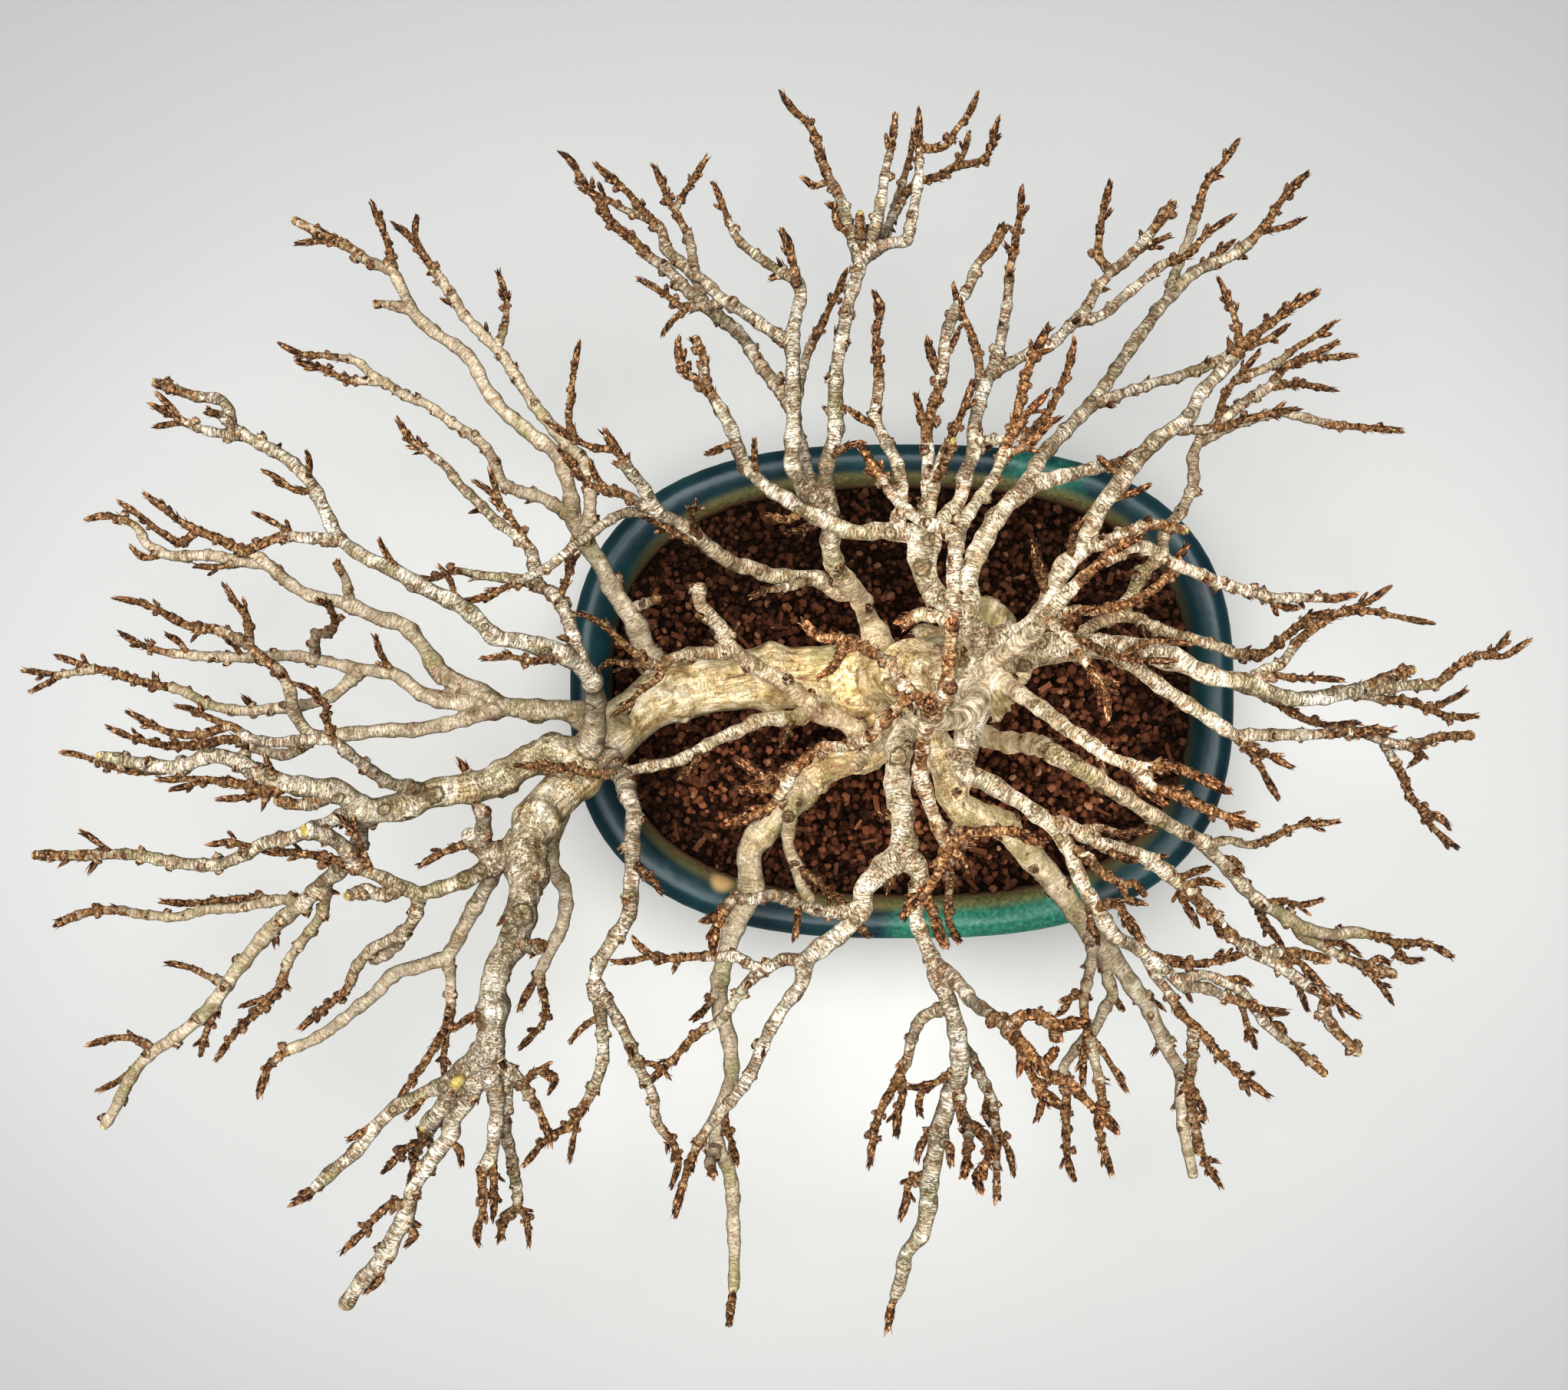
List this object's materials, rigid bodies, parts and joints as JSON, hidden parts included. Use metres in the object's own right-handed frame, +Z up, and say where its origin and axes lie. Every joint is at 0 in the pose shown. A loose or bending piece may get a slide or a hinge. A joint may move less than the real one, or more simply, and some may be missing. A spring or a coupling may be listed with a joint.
{
  "type": "bonsai tree in a pot",
  "caption": "Leafless winter bonsai maple with a low side limb and a wide crown of twigs and buds, in a glazed oval pot on feet.",
  "frame": {"origin": "middle of the whole object's box, on the table that the pot's feet stand on", "axes": "+Z up, +X along the pot's length to the right of the picture, +Y towards the picture's top edge"},
  "size_m": [0.365, 0.2928, 0.235],
  "materials": {
    "glaze": "glossy dark teal glaze on stoneware",
    "soil": "dark red-brown granules",
    "bark": "rough pale grey bark, brown twigs and buds",
    "screen_plastic": "black mesh",
    "wire": "copper-coloured satin"
  },
  "bodies": {
    "root": {"pot": "glaze", "soil": "soil", "tree": "bark", "drain_screen_left": "screen_plastic", "screen_wire_left": "wire", "drain_screen_right": "screen_plastic", "screen_wire_right": "wire"}
  },
  "joints": []
}
